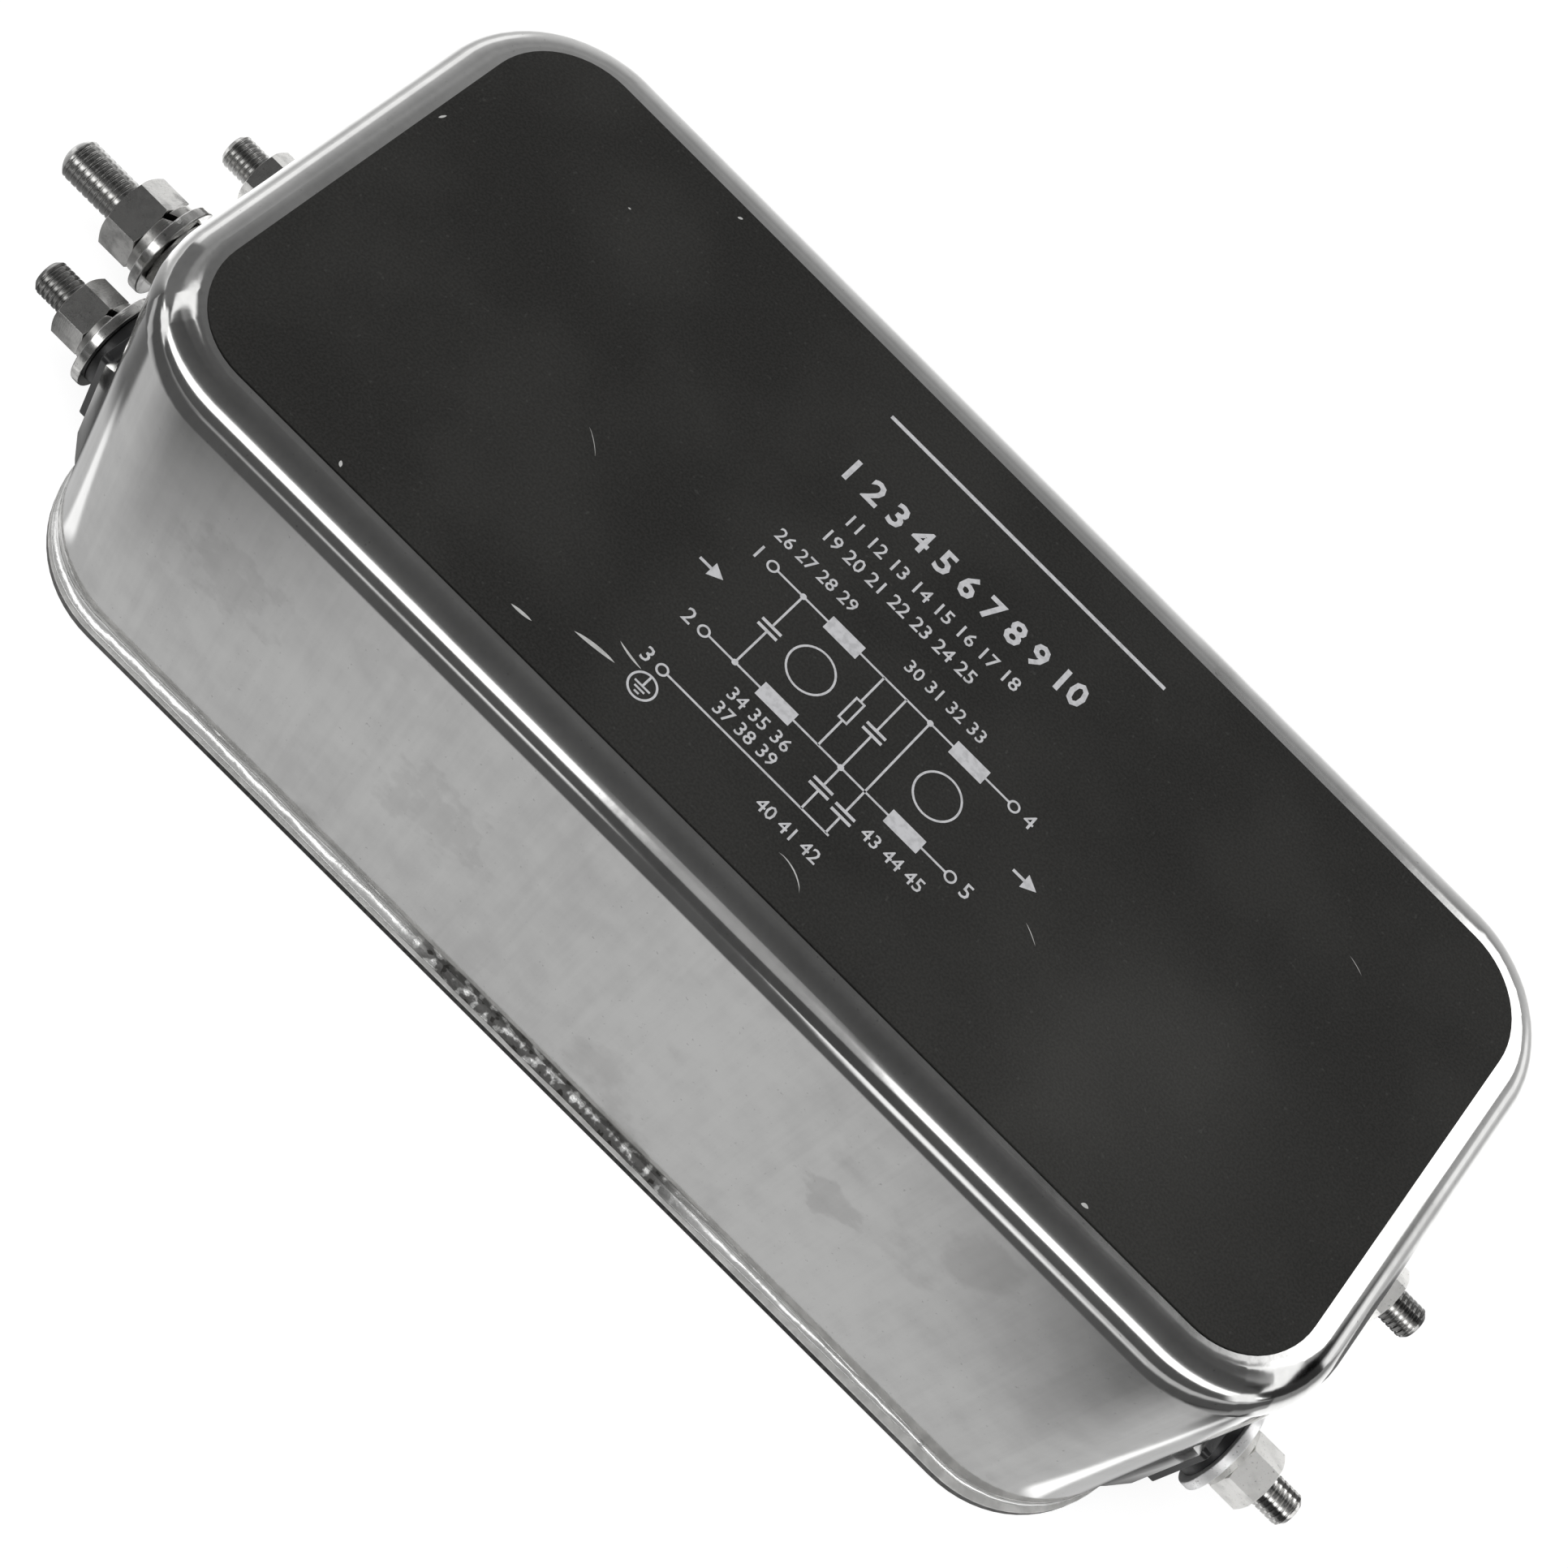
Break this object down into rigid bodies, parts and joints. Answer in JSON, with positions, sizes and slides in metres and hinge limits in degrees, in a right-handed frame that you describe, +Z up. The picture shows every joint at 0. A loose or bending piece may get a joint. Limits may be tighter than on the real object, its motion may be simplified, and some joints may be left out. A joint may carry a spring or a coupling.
{
  "type": "emi line filter",
  "caption": "Chassis-mount power line filter: drawn steel can on a soldered base plate, threaded stud terminals at both ends, common-mode chokes and capacitors inside.",
  "frame": {"origin": "centre of the mounting face, the underside of the base plate, under the middle of the can", "axes": "+X along the can from the line end to the load end, +Y across it, +Z up from the mounting face to the rating label"},
  "size_m": [0.228, 0.0838, 0.0541],
  "materials": {
    "can_steel": "satin nickel-plated deep-drawn steel",
    "solder": "bright tin solder",
    "fastener_steel": "nickel-plated steel",
    "stud_steel": "nickel-plated steel, threaded",
    "washer_steel": "nickel-plated steel",
    "spring_steel": "nickel-plated spring steel",
    "label_film": "matt charcoal printed film",
    "insulating_film": "tan insulating sheet",
    "bushing_plastic": "black moulded plastic",
    "core_ferrite": "dark sintered ferrite",
    "case_plastic": "blue moulded plastic",
    "divider_board": "fibre board",
    "winding_wire": "enamelled copper",
    "x_capacitor_box": "yellow plastic box",
    "y_capacitor_coat": "blue dipped coat",
    "resistor_coat": "tan lacquer",
    "copper_bar": "bare copper"
  },
  "bodies": {
    "root": {"can": "can_steel", "base_plate": "can_steel", "solder_seam": "solder", "mounting_nuts": "fastener_steel", "rating_label": "label_film", "base_insulation_sheet": "insulating_film", "line_p_bushing": "bushing_plastic", "line_n_bushing": "bushing_plastic", "load_p_bushing": "bushing_plastic", "load_n_bushing": "bushing_plastic", "line_p_inner_bushing": "bushing_plastic", "line_n_inner_bushing": "bushing_plastic", "load_p_inner_bushing": "bushing_plastic", "load_n_inner_bushing": "bushing_plastic", "line_p_stud": "stud_steel", "line_n_stud": "stud_steel", "load_p_stud": "stud_steel", "load_n_stud": "stud_steel", "earth_stud": "stud_steel", "terminal_flat_washers": "washer_steel", "terminal_spring_washers": "spring_steel", "terminal_nuts": "fastener_steel", "inner_flat_washers": "washer_steel", "inner_nuts": "fastener_steel", "earth_spacer": "fastener_steel", "earth_flat_washer": "washer_steel", "earth_spring_washer": "spring_steel", "earth_nut": "fastener_steel", "earth_inner_washer": "washer_steel", "earth_inner_nut": "fastener_steel", "line_choke_core": "core_ferrite", "line_choke_case": "case_plastic", "line_choke_case_lid": "case_plastic", "line_choke_divider": "divider_board", "line_choke_winding_p": "winding_wire", "line_choke_winding_n": "winding_wire", "load_choke_core": "core_ferrite", "load_choke_case": "case_plastic", "load_choke_case_lid": "case_plastic", "load_choke_divider": "divider_board", "load_choke_winding_p": "winding_wire", "load_choke_winding_n": "winding_wire", "line_x_capacitor": "x_capacitor_box", "middle_x_capacitor": "x_capacitor_box", "y_capacitor_p": "y_capacitor_coat", "y_capacitor_n": "y_capacitor_coat", "bleed_resistor": "resistor_coat", "line_bar_p": "copper_bar", "line_bar_n": "copper_bar", "middle_bar_p": "copper_bar", "middle_bar_n": "copper_bar", "load_bar_p": "copper_bar", "load_bar_n": "copper_bar"}
  },
  "joints": []
}
